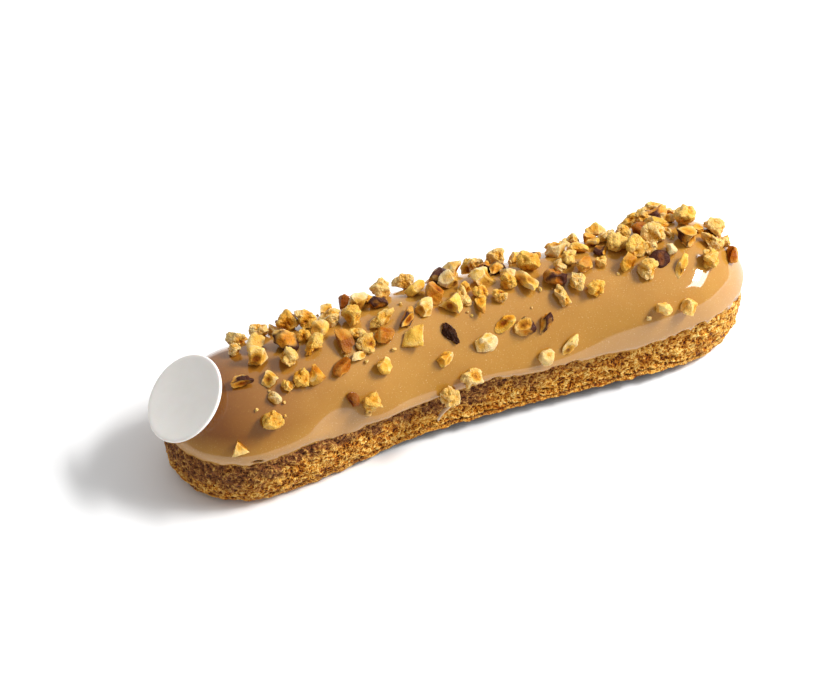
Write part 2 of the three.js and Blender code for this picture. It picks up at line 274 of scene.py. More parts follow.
# A nut starts as a ball of radius 1, and these shape it before it gets its size.
NUT_FULLNESS = 0.8
LOBE_NOISE = (1.5, 103)
SMALL_LOBE_NOISE = (0.7, 101)
CUT_ROUGHNESS = 0.05
CUT_NOISE = (0.35, 102)
CUT_SHOWS = 0.02
SIDE_DEPTH = {3: 0.36, 4: 0.68}
SIDE_SWAY = (-0.08, 0.08)
BITE_REACH = (0.5, 0.9)
BITE_AT = 0.85
BITE_DEPTH = 0.5
# The tones of cuts, from pale to roasted, against the nut's own tone
CUT_TONE = 0.25
FACET_TONES = (-0.4, 0.3)
SIDE_TONES = (0.0, 0.5)
# The surface of a nut at its size
GRAIN_NOISE = (1.15, 100)
FINE_GRAIN_NOISE = (0.6, 105)
GRAIN_RADIUS = 0.85
NUT_RIPPLE = 0.08
NUT_RIPPLE_NOISE = (0.9, 110)
ROAST_NOISE = (1.8, 111)
# How high the painted shade reaches up from the lowest point of a nut
NUT_FOOT_SHADE = 1.5
# How far apart two nuts read the same noise, so that no two look alike
OWN_FORM = 7.3
OWN_SURFACE = 31.7
NUT_STEPS = 12

# Crumbs beside the nuts
BIT_COUNT = 90
BIT_SIZES = (0.5, 1.5)
BIT_SPREAD = 5.0
BIT_ACROSS = 20.0
BIT_CUTS = 6
BIT_CUT_DEPTHS = (0.4, 0.9)
BIT_RISE = 0.2
BIT_ROAST = 0.5
BIT_RELIEF = 0.8
BIT_STEPS = 3

# The camera, fitted to the photograph's outline
CAMERA_AZIMUTH = -23.58
CAMERA_ELEVATION = 45.0
CAMERA_DISTANCE = 703.0
CAMERA_AIM = (-3.04, 13.85, 0.0)
CAMERA_LENS = 130.2
CAMERA_SENSOR = 36.0

# The key light is a soft panel with a brighter middle that stands higher. Azimuth 0 is +X and 90 is +Y,
# angles are in degrees, distance and size in metres, and power in watts.
KEY = dict(azimuth=-19, elevation=41, distance=0.85, size=(0.52, 0.28), power=4.8)
KEY_MIDDLE = dict(azimuth=-19, elevation=47, distance=0.84, size=(0.24, 0.13), power=5.5)
# The light of the sky in the middle, and how fast it grows along X, Y and Z
SKY_LIGHT = 0.52
SKY_SLOPE = (0.15, 0.2, 0.12)
FLOOR_HALF = 4.0


# Shape rules shared with the solids

def along(values, t):
    """A smooth curve through evenly spaced values, at t from 0 to 1."""
    values = np.asarray(values, float)
    last = len(values) - 1
    place = np.clip(t, 0, 1) * last
    i = np.minimum(place.astype(int), last - 1)
    f = place - i
    a, b = values[np.maximum(i - 1, 0)], values[i]
    c, d = values[i + 1], values[np.minimum(i + 2, last)]
    return b + 0.5 * f * (c - a + f * (2 * a - 5 * b + 4 * c - d + f * (3 * (b - c) + d - a)))


def part_way(value, start, end):
    """How far a value is on the way from start to end, from 0 to 1."""
    return np.clip((value - start) / (end - start), 0, 1)


def section(angle, reach, crest):
    """Distance from the spine and height, from -90 degrees at the base's edge to 90 degrees at the crest."""
    c, s = np.abs(np.cos(angle)), np.abs(np.sin(angle))
    power = 2 / FOOT_POWER
    low = angle < 0
    r = np.where(low, reach * (FOOT_SHARE + (1 - FOOT_SHARE) * c ** power), reach * c)
    z = np.where(low, BULGE_Z * (1 - s ** power), BULGE_Z + (crest - BULGE_Z) * s)
    return r, z


def spine(u):
    """The place of the spine in plan, at u from 0 to 1 along it."""
    sway = np.sin(np.pi * u) ** 2 - 0.5
    return SPINE_START + u * (SPINE_END - SPINE_START), BEND * sway


def spine_share(x):
    return (x - SPINE_START) / (SPINE_END - SPINE_START)


def tip_lift(x, z):
    """The rise of the base towards the tips, which dies away up the sides."""
    return END_LIFT * part_way(np.abs(x), LIFT_START, LENGTH / 2) ** 2 * part_way(z, LIFT_TOP, 0)


def skin(stations, angle, offset=0.0):
    """Points of the choux's skin at stations (u, dx, dy) and section angles, moved out by offset."""
    u, dx, dy = stations
    half = np.where(dy < 0, along(NEAR_HALF, u), along(FAR_HALF, u))
    cap = np.where(u < 0.5, DISC_CAP, PLAIN_CAP)
    out_x, out_y = dx * cap, dy * half
    reach, crest = np.hypot(out_x, out_y), along(CREST, u)
    r, z = section(angle, reach, crest)
    step = 1e-4
    r0, z0 = section(np.maximum(angle - step, -QUARTER_TURN), reach, crest)
    r1, z1 = section(np.minimum(angle + step, QUARTER_TURN), reach, crest)
    size = np.hypot(z1 - z0, r0 - r1)
    r = r + offset * (z1 - z0) / size
    z = z + offset * (r0 - r1) / size
    x, y = spine(u)
    x, y = x + out_x * r / reach, y + out_y * r / reach
    return np.stack([x, y, z + tip_lift(x, z)], axis=-1)


def rim(side_steps, cap_steps):
    """Stations round the bar: the -Y side, the disc end, the +Y side and the plain end."""
    side = np.arange(side_steps) / side_steps
    turn = np.arange(cap_steps) * np.pi / cap_steps
    flat, one = np.zeros(side_steps), np.ones(side_steps)
    u = np.concatenate([1 - side, 0 * turn, side, 0 * turn + 1])
    dx = np.concatenate([flat, -np.sin(turn), flat, np.sin(turn)])
    dy = np.concatenate([-one, -np.cos(turn), one, np.cos(turn)])
    return u, dx, dy


def edge_angle(stations):
    """The section angle of the icing's lower edge."""
    u, _, dy = stations
    near, far = along(NEAR_EDGE, u), along(FAR_EDGE, u)
    height = near + (far - near) * (1 + dy) / 2
    return np.arcsin((height - BULGE_Z) / (along(CREST, u) - BULGE_Z))


def icing_place(distance, across):
    """A place on the icing as a point, its outward direction, and the direction along the bar."""
    on_spine = min(max(distance, SPINE_START), SPINE_END)
    out = np.array([distance - on_spine, across], float)
    far = np.linalg.norm(out)
    out /= far
    station = [np.array([value]) for value in (spine_share(on_spine), *out)]
    angle = np.array([QUARTER_TURN * (1 - far / SIDE_ARC)])
    point = skin(station, angle, GAP + ICING)[0]
    normal = skin(station, angle, GAP + ICING + 1)[0] - point
    normal /= np.linalg.norm(normal)
    forward = np.array([1.0, 0, 0]) - normal[0] * normal
    return point, normal, forward / np.linalg.norm(forward)


# Seeded draws and noise

class Draws:
    """A plain seeded generator of numbers from 0 to 1, the same as the solids' own."""

    FACTOR = 1664525
    STEP = 1013904223
    RANGE = 4294967296

    def __init__(self, state):
        self.state = state

    def one(self):
        self.state = (self.state * self.FACTOR + self.STEP) % self.RANGE
        return self.state / self.RANGE

    def between(self, limits):
        low, high = limits
        return low + (high - low) * self.one()

    def bell(self):
        return self.one() + self.one() + self.one() - 1.5

    def direction(self):
        z = 2 * self.one() - 1
        turn = 2 * math.pi * self.one()
        flat = math.sqrt(1 - z * z)
        return np.array([flat * math.cos(turn), flat * math.sin(turn), z])


def hashed(cells, channel):
    """Numbers from 0 to 1 for whole-number cells, the same on each run."""
    x, y, z = (cells[..., i].astype(np.int64) for i in range(3))
    h = ((x * 73856093) ^ (y * 19349663) ^ (z * 83492791) ^ (channel * 40503)) & 0xFFFFFFFF
    h = ((h ^ (h >> 13)) * 1274126177) & 0xFFFFFFFF
    h = ((h ^ (h >> 15)) * 668265263) & 0xFFFFFFFF
    return (h >> 8) / 0xFFFFFF


def smooth_step(value):
    """Eases a value from 0 to 1 in and out."""
    return value * value * (3 - 2 * value)


def soft_noise(points, size, channel):
    """Smooth noise from -1 to 1 with bumps of about that size."""
    place = points / size
    cell = np.floor(place)
    f = smooth_step(place - cell)
    total = np.zeros(points.shape[:-1])
    for corner in np.ndindex(2, 2, 2):
        corner = np.array(corner)
        weight = np.prod(np.where(corner, f, 1 - f), axis=-1)
        total += weight * hashed(cell + corner, channel)
    return 2 * total - 1


def cell_noise(points, size, channel):
    """The distance to the nearest of scattered points, in cells of that size, and that point's own number."""
    place = points / size
    cell = np.floor(place)
    nearest = np.full(points.shape[:-1], np.inf)
    number = np.zeros_like(nearest)
    for step in np.ndindex(3, 3, 3):
        there = cell + np.array(step) - 1
        spot = there + np.stack([hashed(there, channel + i) for i in range(3)], axis=-1)
        distance = np.linalg.norm(place - spot, axis=-1)
        closer = distance < nearest
        number = np.where(closer, hashed(there, channel + 3), number)
        nearest = np.where(closer, distance, nearest)
    return nearest, number


def dome(distance, radius):
    """Height from 0 to 1 of a round dome of that radius."""
    return np.sqrt(np.clip(1 - (distance / radius) ** 2, 0, 1))


# Meshes

def make_piece(name, points, faces, material, **attributes):
    """A smooth-shaded mesh object from points in millimetres, with named numbers on its points."""
    mesh = bpy.data.meshes.new(name)
    mesh.from_pydata((points.reshape(-1, 3) * METRE).tolist(), [], faces.tolist())
    mesh.shade_smooth()
    for attribute, values in attributes.items():
        layer = mesh.attributes.new(attribute, "FLOAT", "POINT")
        layer.data.foreach_set("value", np.asarray(values, np.float32).ravel())
    mesh.materials.append(material)
    piece = bpy.data.objects.new(name, mesh)
    bpy.context.scene.collection.objects.link(piece)
    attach(piece, "root")
    return piece


def ring_faces(rows, count):
    """Quads between rows of points that each run once round the bar."""
    k = np.arange(count)
    next_k = (k + 1) % count
    start = (np.arange(rows - 1) * count)[:, None]
    quads = [start + k, start + count + k, start + count + next_k, start + next_k]
    return np.stack(quads, axis=-1).reshape(-1, 4)


def grid_faces(rows, columns):
    """Quads of an open grid of points."""
    corner = (np.arange(rows - 1)[:, None] * columns + np.arange(columns - 1)).ravel()
    return np.stack([corner, corner + columns, corner + columns + 1, corner + 1], axis=-1)


def unit_ball(steps):
    """A ball of even triangles, with that many steps along each edge of an icosahedron."""
    ball = bmesh.new()
    bmesh.ops.create_icosphere(ball, subdivisions=1, radius=1)
    bmesh.ops.subdivide_edges(ball, edges=ball.edges, cuts=steps - 1, use_grid_fill=True)
    ball.verts.index_update()
    points = np.array([v.co for v in ball.verts])
    faces = np.array([[v.index for v in face.verts] for face in ball.faces])
    ball.free()
    return points / np.linalg.norm(points, axis=1)[:, None], faces


def repeated_faces(ball, faces, count):
    """The faces of that many balls, joined one after the other."""
    return np.concatenate([faces + i * len(ball) for i in range(count)])


# Materials

def new_material(name):
    material = bpy.data.materials.new(name)
    material.use_nodes = True
    nodes = material.node_tree.nodes
    return material, nodes, material.node_tree.links, nodes["Principled BSDF"]


def set_inputs(node, values):
    for name, value in values.items():
        node.inputs[name].default_value = value


def attribute_node(nodes, name):
    node = nodes.new("ShaderNodeAttribute")
    node.attribute_name = name
    return node.outputs["Fac"]


def ramp_node(nodes, links, factor, stops):
    """A colour ramp through (position, colour) stops."""
    node = nodes.new("ShaderNodeValToRGB")
    elements = node.color_ramp.elements
    while len(elements) < len(stops):
        elements.new(1.0)
    for element, (position, colour) in zip(elements, stops):
        element.position = position
        element.color = (*colour, 1.0)
    links.new(factor, node.inputs["Fac"])
    return node.outputs["Color"]


def object_place(nodes):
    return nodes.new("ShaderNodeTexCoord").outputs["Object"]


def noise_node(nodes, links, size, detail=3.0):
    """Noise fixed to the object, with features of about that size in millimetres."""
    node = nodes.new("ShaderNodeTexNoise")
    set_inputs(node, {"Scale": 1 / (size * METRE), "Detail": detail, "Roughness": 0.6})
    links.new(object_place(nodes), node.inputs["Vector"])
    return node.outputs["Fac"]


def mix_node(nodes, links, factor, a, b, blend="MIX"):
    """Mixes two colours. Each of factor, a and b is a socket or a plain value."""
    node = nodes.new("ShaderNodeMix")
    node.data_type = "RGBA"
    node.blend_type = blend
    for socket, value in ((node.inputs[0], factor), (node.inputs[6], a), (node.inputs[7], b)):
        if isinstance(value, bpy.types.NodeSocket):
            links.new(value, socket)
        elif isinstance(value, tuple):
            socket.default_value = (*value, 1.0)
        else:
            socket.default_value = value
    return node.outputs[2]


def range_node(nodes, links, value, low, high, to_low=0.0, to_high=1.0):
    """A value moved from one range to another, and kept inside it."""
    node = nodes.new("ShaderNodeMapRange")
    set_inputs(node, {"From Min": low, "From Max": high, "To Min": to_low, "To Max": to_high})
    links.new(value, node.inputs["Value"])
    return node.outputs["Result"]


def ridge_node(nodes, links, size, width):
    """A net of ridges between cells of about that size in millimetres: 1 on a ridge, 0 beyond its width."""
    place = object_place(nodes)
    warp = nodes.new("ShaderNodeTexNoise")
    set_inputs(warp, {"Scale": 0.7 / (size * METRE), "Detail": 2.0})
    links.new(place, warp.inputs["Vector"])
    shifted = nodes.new("ShaderNodeVectorMath")
    shifted.operation = "MULTIPLY_ADD"
    shifted.inputs[1].default_value = (1.2 * size * METRE,) * 3
    links.new(warp.outputs["Color"], shifted.inputs[0])
    links.new(place, shifted.inputs[2])
    cells = nodes.new("ShaderNodeTexVoronoi")
    cells.feature = "DISTANCE_TO_EDGE"
    set_inputs(cells, {"Scale": 1 / (size * METRE)})
    links.new(shifted.outputs["Vector"], cells.inputs["Vector"])
    return range_node(nodes, links, cells.outputs["Distance"], 0.0, width, 1.0, 0.0)


def vein_node(nodes, links, size):
    """Crooked veins from 0 to 1, with about that distance between them in millimetres."""
    node = nodes.new("ShaderNodeTexNoise")
    node.noise_type = "RIDGED_MULTIFRACTAL"
    set_inputs(node, {
        "Scale": 1 / (size * METRE), "Detail": 2.0, "Roughness": 0.55,
        "Offset": 0.8, "Gain": 2.0, "Distortion": 0.6,
    })
    links.new(object_place(nodes), node.inputs["Vector"])
    return range_node(nodes, links, node.outputs["Fac"], 0.15, 1.0)


def sum_node(nodes, links, *terms):
    """The sum of (socket, weight) terms."""
    total = None
    for value, weight in terms:
        node = nodes.new("ShaderNodeMath")
        node.operation = "MULTIPLY_ADD"
        node.inputs[1].default_value = weight
        links.new(value, node.inputs[0])
        if total:
            links.new(total, node.inputs[2])
        else:
            node.inputs[2].default_value = 0.0
        total = node.outputs["Value"]
    return total


def add_bump(nodes, links, shader, height, depth):
    """Fine relief from a height of 0 to 1, depth in millimetres."""
    node = nodes.new("ShaderNodeBump")
    set_inputs(node, {"Distance": depth * METRE, "Strength": 1.0})
    links.new(height, node.inputs["Height"])
    links.new(node.outputs["Normal"], shader.inputs["Normal"])


def crust_material():
    """Baked choux: golden ridges over dark pits, browner at the end and under the icing, in part painted
    light.
    """
    material, nodes, links, shader = new_material("baked_crust")
    veins = vein_node(nodes, links, size=0.65)
    net = sum_node(nodes, links, (veins, 0.5), (attribute_node(nodes, "relief"), 0.5))
    # The palest ridge colours are partly painted glints, and the darkest pits partly painted shade
    golden = ramp_node(nodes, links, net, [
        (0.1, (0.07, 0.014, 0.001)), (0.26, (0.28, 0.074, 0.003)), (0.43, (0.55, 0.2, 0.017)),
        (0.64, (0.8, 0.435, 0.072)), (0.86, (0.95, 0.7, 0.25)),
    ])
    toast = range_node(nodes, links, noise_node(nodes, links, size=5.0), 0.42, 0.72)
    golden = mix_node(nodes, links, toast, golden, (0.76, 0.6, 0.42), "MULTIPLY")
    # Partly an icing smear and partly painted shade
    dull = ramp_node(nodes, links, net, [
        (0.0, (0.03, 0.009, 0.004)), (0.2, (0.1, 0.03, 0.01)), (0.45, (0.21, 0.075, 0.023)),
        (0.65, (0.33, 0.135, 0.034)), (0.88, (0.62, 0.35, 0.085)),
    ])
    colour = mix_node(nodes, links, attribute_node(nodes, "shade"), golden, dull)
    links.new(colour, shader.inputs["Base Color"])
    set_inputs(shader, {"Roughness": 0.42, "Specular IOR Level": 0.06})
    add_bump(nodes, links, shader, net, depth=0.32)
    return material


def icing_material():
    """Caramel icing: glossy, a little translucent, faintly mottled and specked, painted shade by the disc."""
    material, nodes, links, shader = new_material("caramel_icing")
    cloud = range_node(nodes, links, noise_node(nodes, links, size=9.0), 0.3, 0.7)
    colour = mix_node(nodes, links, cloud, (0.4, 0.183, 0.023), (0.44, 0.21, 0.03))
    speck = range_node(nodes, links, noise_node(nodes, links, size=0.25, detail=1.0), 0.64, 0.8)
    colour = mix_node(nodes, links, speck, colour, (0.62, 0.4, 0.14))
    # Painted shade: the icing is darkened towards the disc end, which faces away from the light.
    colour = mix_node(nodes, links, attribute_node(nodes, "pool"), colour, (0.5, 0.33, 0.07), "MULTIPLY")
    links.new(colour, shader.inputs["Base Color"])
    set_inputs(shader, {
        "Roughness": 0.5, "Specular IOR Level": 0.05,
        "Coat Weight": 1.0, "Coat Roughness": 0.06, "Coat IOR": 1.7,
        "Subsurface Weight": 0.15, "Subsurface Radius": (1.0, 0.5, 0.2), "Subsurface Scale": 1.2 * METRE,
    })
    add_bump(nodes, links, shader, noise_node(nodes, links, size=0.5, detail=1.0), depth=0.006)
    return material


def drip_material():
    """A thin run of icing, as glossy as the rest, painted paler as a highlight."""
    material, nodes, links, shader = new_material("icing_run")
    cloud = noise_node(nodes, links, size=1.2)
    # Painted highlight: a pale colour stands in for the light caught along the thin run
    colour = mix_node(nodes, links, cloud, (0.62, 0.42, 0.22), (0.78, 0.6, 0.4))
    links.new(colour, shader.inputs["Base Color"])
    set_inputs(shader, {"Roughness": 0.25, "Coat Weight": 1.0, "Coat Roughness": 0.05})
    return material


def nut_material(name, kind):
    """Chopped nut: pale inside to roasted outside, golden painted shade in hollows, skin where there is some.
    """
    material, nodes, links, shader = new_material(name)
    colour = ramp_node(nodes, links, attribute_node(nodes, "roast"), kind["stops"])
    # Painted shade: low relief, in hollows and at the foot, darkens to deep amber
    depth = ramp_node(nodes, links, attribute_node(nodes, "relief"), [
        (0.04, (0.32, 0.11, 0.003)), (0.42, (0.89, 0.62, 0.18)), (0.8, (1.0, 1.0, 1.0)),
    ])
    colour = mix_node(nodes, links, 1.0, colour, depth, "MULTIPLY")
    # Painted shade in the seams between grains, which the bump also sinks
    net = ridge_node(nodes, links, size=0.5, width=0.4)
    seams = range_node(nodes, links, net, 0.0, 1.0, 0.0, 0.3 + 0.5 * kind["grains"])
    colour = mix_node(nodes, links, seams, colour, (0.82, 0.64, 0.34), "MULTIPLY")
    spots = range_node(nodes, links, noise_node(nodes, links, size=0.7, detail=2.0), 0.64, 0.72)
    colour = mix_node(nodes, links, spots, colour, (0.55, 0.4, 0.3), "MULTIPLY")
    if kind["skin"]:
        colour = mix_node(nodes, links, attribute_node(nodes, "skin"), colour, SKIN_COLOUR)
    links.new(colour, shader.inputs["Base Color"])
    set_inputs(shader, {
        "Roughness": 0.28, "Specular IOR Level": 0.1,
        "Subsurface Weight": 0.25, "Subsurface Radius": (1.0, 0.55, 0.2), "Subsurface Scale": 0.3 * METRE,
    })
    grit = noise_node(nodes, links, size=0.4, detail=4.0)
    add_bump(nodes, links, shader, sum_node(nodes, links, (grit, 0.7), (seams, -0.8)), depth=0.2)
    return material


def disc_material():
    """White chocolate: satin ivory with faint clouding."""
    material, nodes, links, shader = new_material("white_chocolate")
    cloud = range_node(nodes, links, noise_node(nodes, links, size=4.0), 0.3, 0.7)
    colour = mix_node(nodes, links, cloud, (0.95, 0.91, 0.85), (0.98, 0.945, 0.89))
    links.new(colour, shader.inputs["Base Color"])
    set_inputs(shader, {"Roughness": 0.42, "Subsurface Weight": 0.1, "Subsurface Scale": 0.6 * METRE})
    add_bump(nodes, links, shader, noise_node(nodes, links, size=1.5, detail=2.0), depth=0.02)
    return material


# The crust

def crust_lumps(points):
    """The crossed waves that make the solid's crust lumpy."""
    x, y, z = np.moveaxis(points, -1, 0)
    broad = np.sin(0.9 * x + 1.3 * z) * np.sin(0.8 * y - 0.7 * z + 1)
    fine = np.sin(1.7 * x - 0.9 * y) * np.sin(1.5 * z + 0.6 * x)
    return CRUST_RELIEF * (0.6 * broad + 0.4 * fine)


def crust_grain(points):
    """Fine crooked ridges and a few burst bubbles, from -0.5 to 0.5, fainter near the base."""
    size, channel = GRAIN_WARP_NOISE
    warp = np.stack([soft_noise(points, size, channel + i) for i in range(3)], axis=-1)
    warped = points + GRAIN_WARP * warp
    ridges = 1 - np.abs(soft_noise(warped, *RIDGE_NOISE))
    fine = 1 - np.abs(soft_noise(warped, *FINE_RIDGE_NOISE))
    nearest, number = cell_noise(points, *BURST_NOISE)
    burst = part_way(nearest, BURST_RADIUS, 0) * (number < BURST_SHARE)
    height = np.clip(1.5 * ridges + 0.8 * fine - 1.2 - 0.6 * burst, 0, 1)
    strength = FOOT_GRAIN + (1 - FOOT_GRAIN) * part_way(points[..., 2], *FULL_GRAIN_UP)
    return strength * (height - 0.5)


def crust_crease(points):
    """Depth from 0 to 1 of the crease above the base, which wanders and fades in places."""
    line = CREASE_Z + CREASE_SWAY * soft_noise(points, *CREASE_SWAY_NOISE)
    depth = np.exp(-((points[..., 2] - line) / CREASE_WIDTH) ** 2)
    return depth * np.clip(0.75 + 0.6 * soft_noise(points, *CREASE_FADE_NOISE), 0, 1)


def crust_bubbles(points):
    """Height from 0 to 1 of round bubbles in the crust, most of them towards the plain end."""
    nearest, number = cell_noise(points, *BUBBLE_NOISE)
    growth = np.clip(number + points[..., 0] / BUBBLE_SPREAD - BUBBLE_RARITY, 0, 1)
    return dome(nearest, BUBBLE_RADIUS) * growth


def crust_rise(points, grain, crease, below_edge):
    """How far the crust stands out, with bubbles only close under the icing."""
    bubbles = crust_bubbles(points) * part_way(below_edge, BUBBLE_BELOW, 0)
    rise = crust_lumps(points) + GRAIN_DEPTH * grain - CREASE_DEPTH * crease + BUBBLE_HEIGHT * bubbles
    return rise * part_way(points[..., 2], *BASE_RELIEF_UP)


def near_lift(points):
    """How far the lower edge stands off the table along the middle of the -Y side."""
    x, y, z = np.moveaxis(points, -1, 0)
    lift = smooth_step(part_way(x, *NEAR_LIFT_ALONG)) * smooth_step(part_way(x, *NEAR_LIFT_END_ALONG))
    return NEAR_LIFT * lift * part_way(y, *NEAR_LIFT_ACROSS) * part_way(z, *NEAR_LIFT_UP)


def crust_shade(points, below_edge):
    """Share of dull purple-brown: a patchy band under the icing, and most of the disc end's upper half."""
    # The purple-brown is partly a smear of icing and partly painted shade.
    x, y, z = np.moveaxis(points, -1, 0)
    patchy = soft_noise(points, *SHADE_NOISE) + 0.5 * soft_noise(points, *FINE_SHADE_NOISE)
    # Painted shadow: the band reaches further down where the fuller lip overhangs on the -Y side.
    hidden = np.clip(full_lip(x), 0, 2) * (y < 0)
    # Painted shade over the disc end, which faces away from the light, on top of its browner colour.
    depth = SHADE_DEPTH + hidden + END_SHADE_DEPTH * part_way(x, *END_SHADE_ALONG)
    band = part_way(x, *SHADE_ALONG) * np.clip(1.5 + 1.2 * patchy - below_edge / depth, 0, 1)
    # The lowest rows get painted shade as well.
    return SHADE_MOST * np.maximum(band, part_way(z, *BASE_SHADE_UP))


def crust_tone(points, grain, crease):
    """How pale the crust is: paler on ridges, painted light at the plain end, burnt and shaded below."""
    lit_plain_end = PLAIN_END_LIGHT * part_way(points[..., 0], *PLAIN_END_LIGHT_ALONG)
    # Painted shade in the crease
    tone = 0.5 + grain - CREASE_SHADE_TONE * crease + lit_plain_end
    # Burnt base and painted shade on the underside
    return np.where(points[..., 2] < BURNT_AND_SHADED_Z, BURNT_AND_SHADED_TONE, tone)


def even_angles(start, end, count):
    """Section angles in degrees from start to end, evenly spaced over a middling section."""
    fine = np.radians(np.linspace(start, end, 2000))
    r, z = section(fine, MIDDLING_HALF, MIDDLING_CREST)
    run = np.concatenate([[0], np.cumsum(np.hypot(np.diff(r), np.diff(z)))])
    return np.interp(np.linspace(0, run[-1], count), run, fine)


def crust_angles(edge):
    """Rows of section angles from the base to the icing's edge, and a few more under the icing."""
    foot = np.repeat(even_angles(-90, 0, FOOT_ROWS)[:, None], len(edge), axis=1)
    waist = edge * np.linspace(0, 1, WAIST_ROWS)[1:, None]
    under_icing = edge + (QUARTER_TURN - edge) * np.array(HIDDEN_ROWS)[:, None]
    return np.concatenate([foot, waist, under_icing])


def build_choux():
    stations = rim(*CRUST_STEPS)
    edge = frayed_edge(stations)
    angle = crust_angles(edge)
    plain = skin(stations, angle)
    below_edge = np.maximum(skin(stations, edge)[:, 2] - plain[..., 2], 0)
    grain, crease = crust_grain(plain), crust_crease(plain)
    rise = crust_rise(plain, grain, crease, below_edge)
    hidden = angle > edge + 1e-6
    points = skin(stations, angle, np.where(hidden, -UNDER_ICING, rise))
    lift = near_lift(points)
    points += np.stack([0 * lift, -lift, lift], axis=-1)
    x, y = spine(stations[0])
    under_spine = np.stack([x, y, tip_lift(x, 0 * x)], axis=-1)
    points = np.concatenate([under_spine[None], points])
    tone = crust_tone(plain, grain, crease)
    # The crease is dulled as painted shade.
    shade = np.maximum(crust_shade(plain, below_edge), crease)
    # The middle of the underside is burnt and in painted shade too
    first_row = np.ones((1, len(edge)))
    piece = make_piece(
        "choux_crust", points, ring_faces(*points.shape[:2]), crust_material(),
        relief=np.concatenate([BURNT_AND_SHADED_TONE * first_row, tone]), shade=np.concatenate([first_row, shade]),
    )
    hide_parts("choux")


# The icing

def icing_thickness(run):
    """Full from a little way in, and thin at the edge."""
    return ICING * np.sin(QUARTER_TURN * np.minimum(run / LIP, 1))


def full_lip(x):
    """How much fuller the icing's lower lip is on the -Y side."""
    return along(FULL_LIP, spine_share(x))


def fullness(x, dy, from_crest):
    """How much fuller the icing is on the -Y side: along its lip, and on its shoulder near the plain end."""
    lip = full_lip(x) * np.exp(-((from_crest - FULL_LIP_AT) / FULL_LIP_WIDTH) ** 2)
    shoulder = SHOULDER * np.exp(-((x - SHOULDER_MIDDLE) / SHOULDER_REACH) ** 2)
    shoulder = shoulder * np.exp(-((from_crest - SHOULDER_AT) / SHOULDER_WIDTH) ** 2)
    return part_way(dy, *FULL_FACING) * (lip + shoulder)


def icing_swell(points, dy, run):
    """Slow unevenness of the poured icing, and its fuller parts."""
    ripple = RIPPLE * soft_noise(points * RIPPLE_STRETCH, *RIPPLE_NOISE)
    swell = SWELL * soft_noise(points, *SWELL_NOISE)
    return ripple + swell + fullness(points[..., 0], dy, SIDE_ARC - run)


def slit_depth(points, run):
    """A small slit that a burst bubble left in the icing."""
    along_slit = (points[..., 0] - SLIT_AT[0]) / SLIT_HALF[0]
    across_slit = (run - SLIT_AT[1]) / SLIT_HALF[1]
    return SLIT_DEPTH * np.exp(-(along_slit ** 2 + across_slit ** 2) ** 2)


def frayed_edge(stations):
    """The section angle of the icing's edge, which is uneven and rises over the crust's bubbles."""
    plain = edge_angle(stations)
    at_edge = skin(stations, plain)
    fray = EDGE_FRAY * (soft_noise(at_edge, *FRAY_NOISE) + 0.5 * soft_noise(at_edge, *FINE_FRAY_NOISE))
    return plain + (fray + BUBBLE_RISE * crust_bubbles(at_edge)) / EDGE_RADIUS


def build_icing():
    stations = rim(*ICING_STEPS)
    dy = stations[2]
    edge, smooth_edge = frayed_edge(stations), edge_angle(stations)
    run = np.concatenate([np.linspace(0, LIP, LIP_ROWS), np.linspace(TOP_START, SIDE_ARC, TOP_ROWS)])[:, None]
    angle = smooth_edge + (QUARTER_TURN - smooth_edge) * run / SIDE_ARC
    angle += (edge - smooth_edge) * part_way(run, LIP, 0)
    thickness = icing_thickness(run)
    plain = skin(stations, angle, GAP + ICING)
    offset = thickness * (1 + GAP / ICING) + icing_swell(plain, dy, run) * thickness / ICING
    offset -= slit_depth(plain, run) * (dy < 0)
    tucked = skin(stations, edge, -EDGE_TUCK)
    points = np.concatenate([tucked[None], skin(stations, angle, offset)])
    # Painted shade towards the disc end, none on the tucked edge row
    pool = part_way(plain[..., 0], *PAINTED_SHADE_ALONG) * part_way(run, *PAINTED_SHADE_UP)
    pool = np.concatenate([np.zeros((1, len(edge))), pool])
    piece = make_piece("caramel_icing", points, ring_faces(*points.shape[:2]), icing_material(), pool=pool)
    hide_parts("icing")


def wall_angle(u, z):
    """The section angle at a height."""
    high = np.arcsin(np.clip((z - BULGE_Z) / (along(CREST, u) - BULGE_Z), 0, 1))
    low = -np.arcsin(np.clip(1 - z / BULGE_Z, 0, 1) ** (FOOT_POWER / 2))
    return np.where(z > BULGE_Z, high, low)


def drip_width(t):
    """Half the width of the run of icing: tapered, with a bead near its end and a round tip."""
    bead = DRIP_BEAD * np.exp(-((t - DRIP_BEAD_AT) / DRIP_BEAD_LENGTH) ** 2)
    tip = np.sqrt(1 - np.clip(t - DRIP_TIP_AT, 0, 1) / DRIP_TIP_LENGTH)
    return DRIP_WIDTH * (1 - DRIP_TAPER * t + bead) * tip


def build_drip():
    """A thin run of icing down the crust, from the edge on the -Y side."""
    rows, columns = DRIP_STEPS
    t, v = np.linspace(0, 1, rows)[:, None], np.linspace(-1, 1, columns)
    (x0, z0), (x1, z1) = DRIP
    sideways = drip_width(t) * v / math.hypot(x1 - x0, z1 - z0)
    x = x0 + (x1 - x0) * t + sideways * (z1 - z0) + DRIP_SWAY * np.sin(DRIP_SWAY_TURN * t)
    z = z0 + (z1 - z0) * t - sideways * (x1 - x0)
    u = spine_share(x)
    points = skin((u, 0 * u, 0 * u - 1), wall_angle(u, z), DRIP_HEIGHT * np.sqrt(1 - v * v) - DRIP_SINK)
    piece = make_piece("icing_drip", points, grid_faces(rows, columns), drip_material())


# The nuts

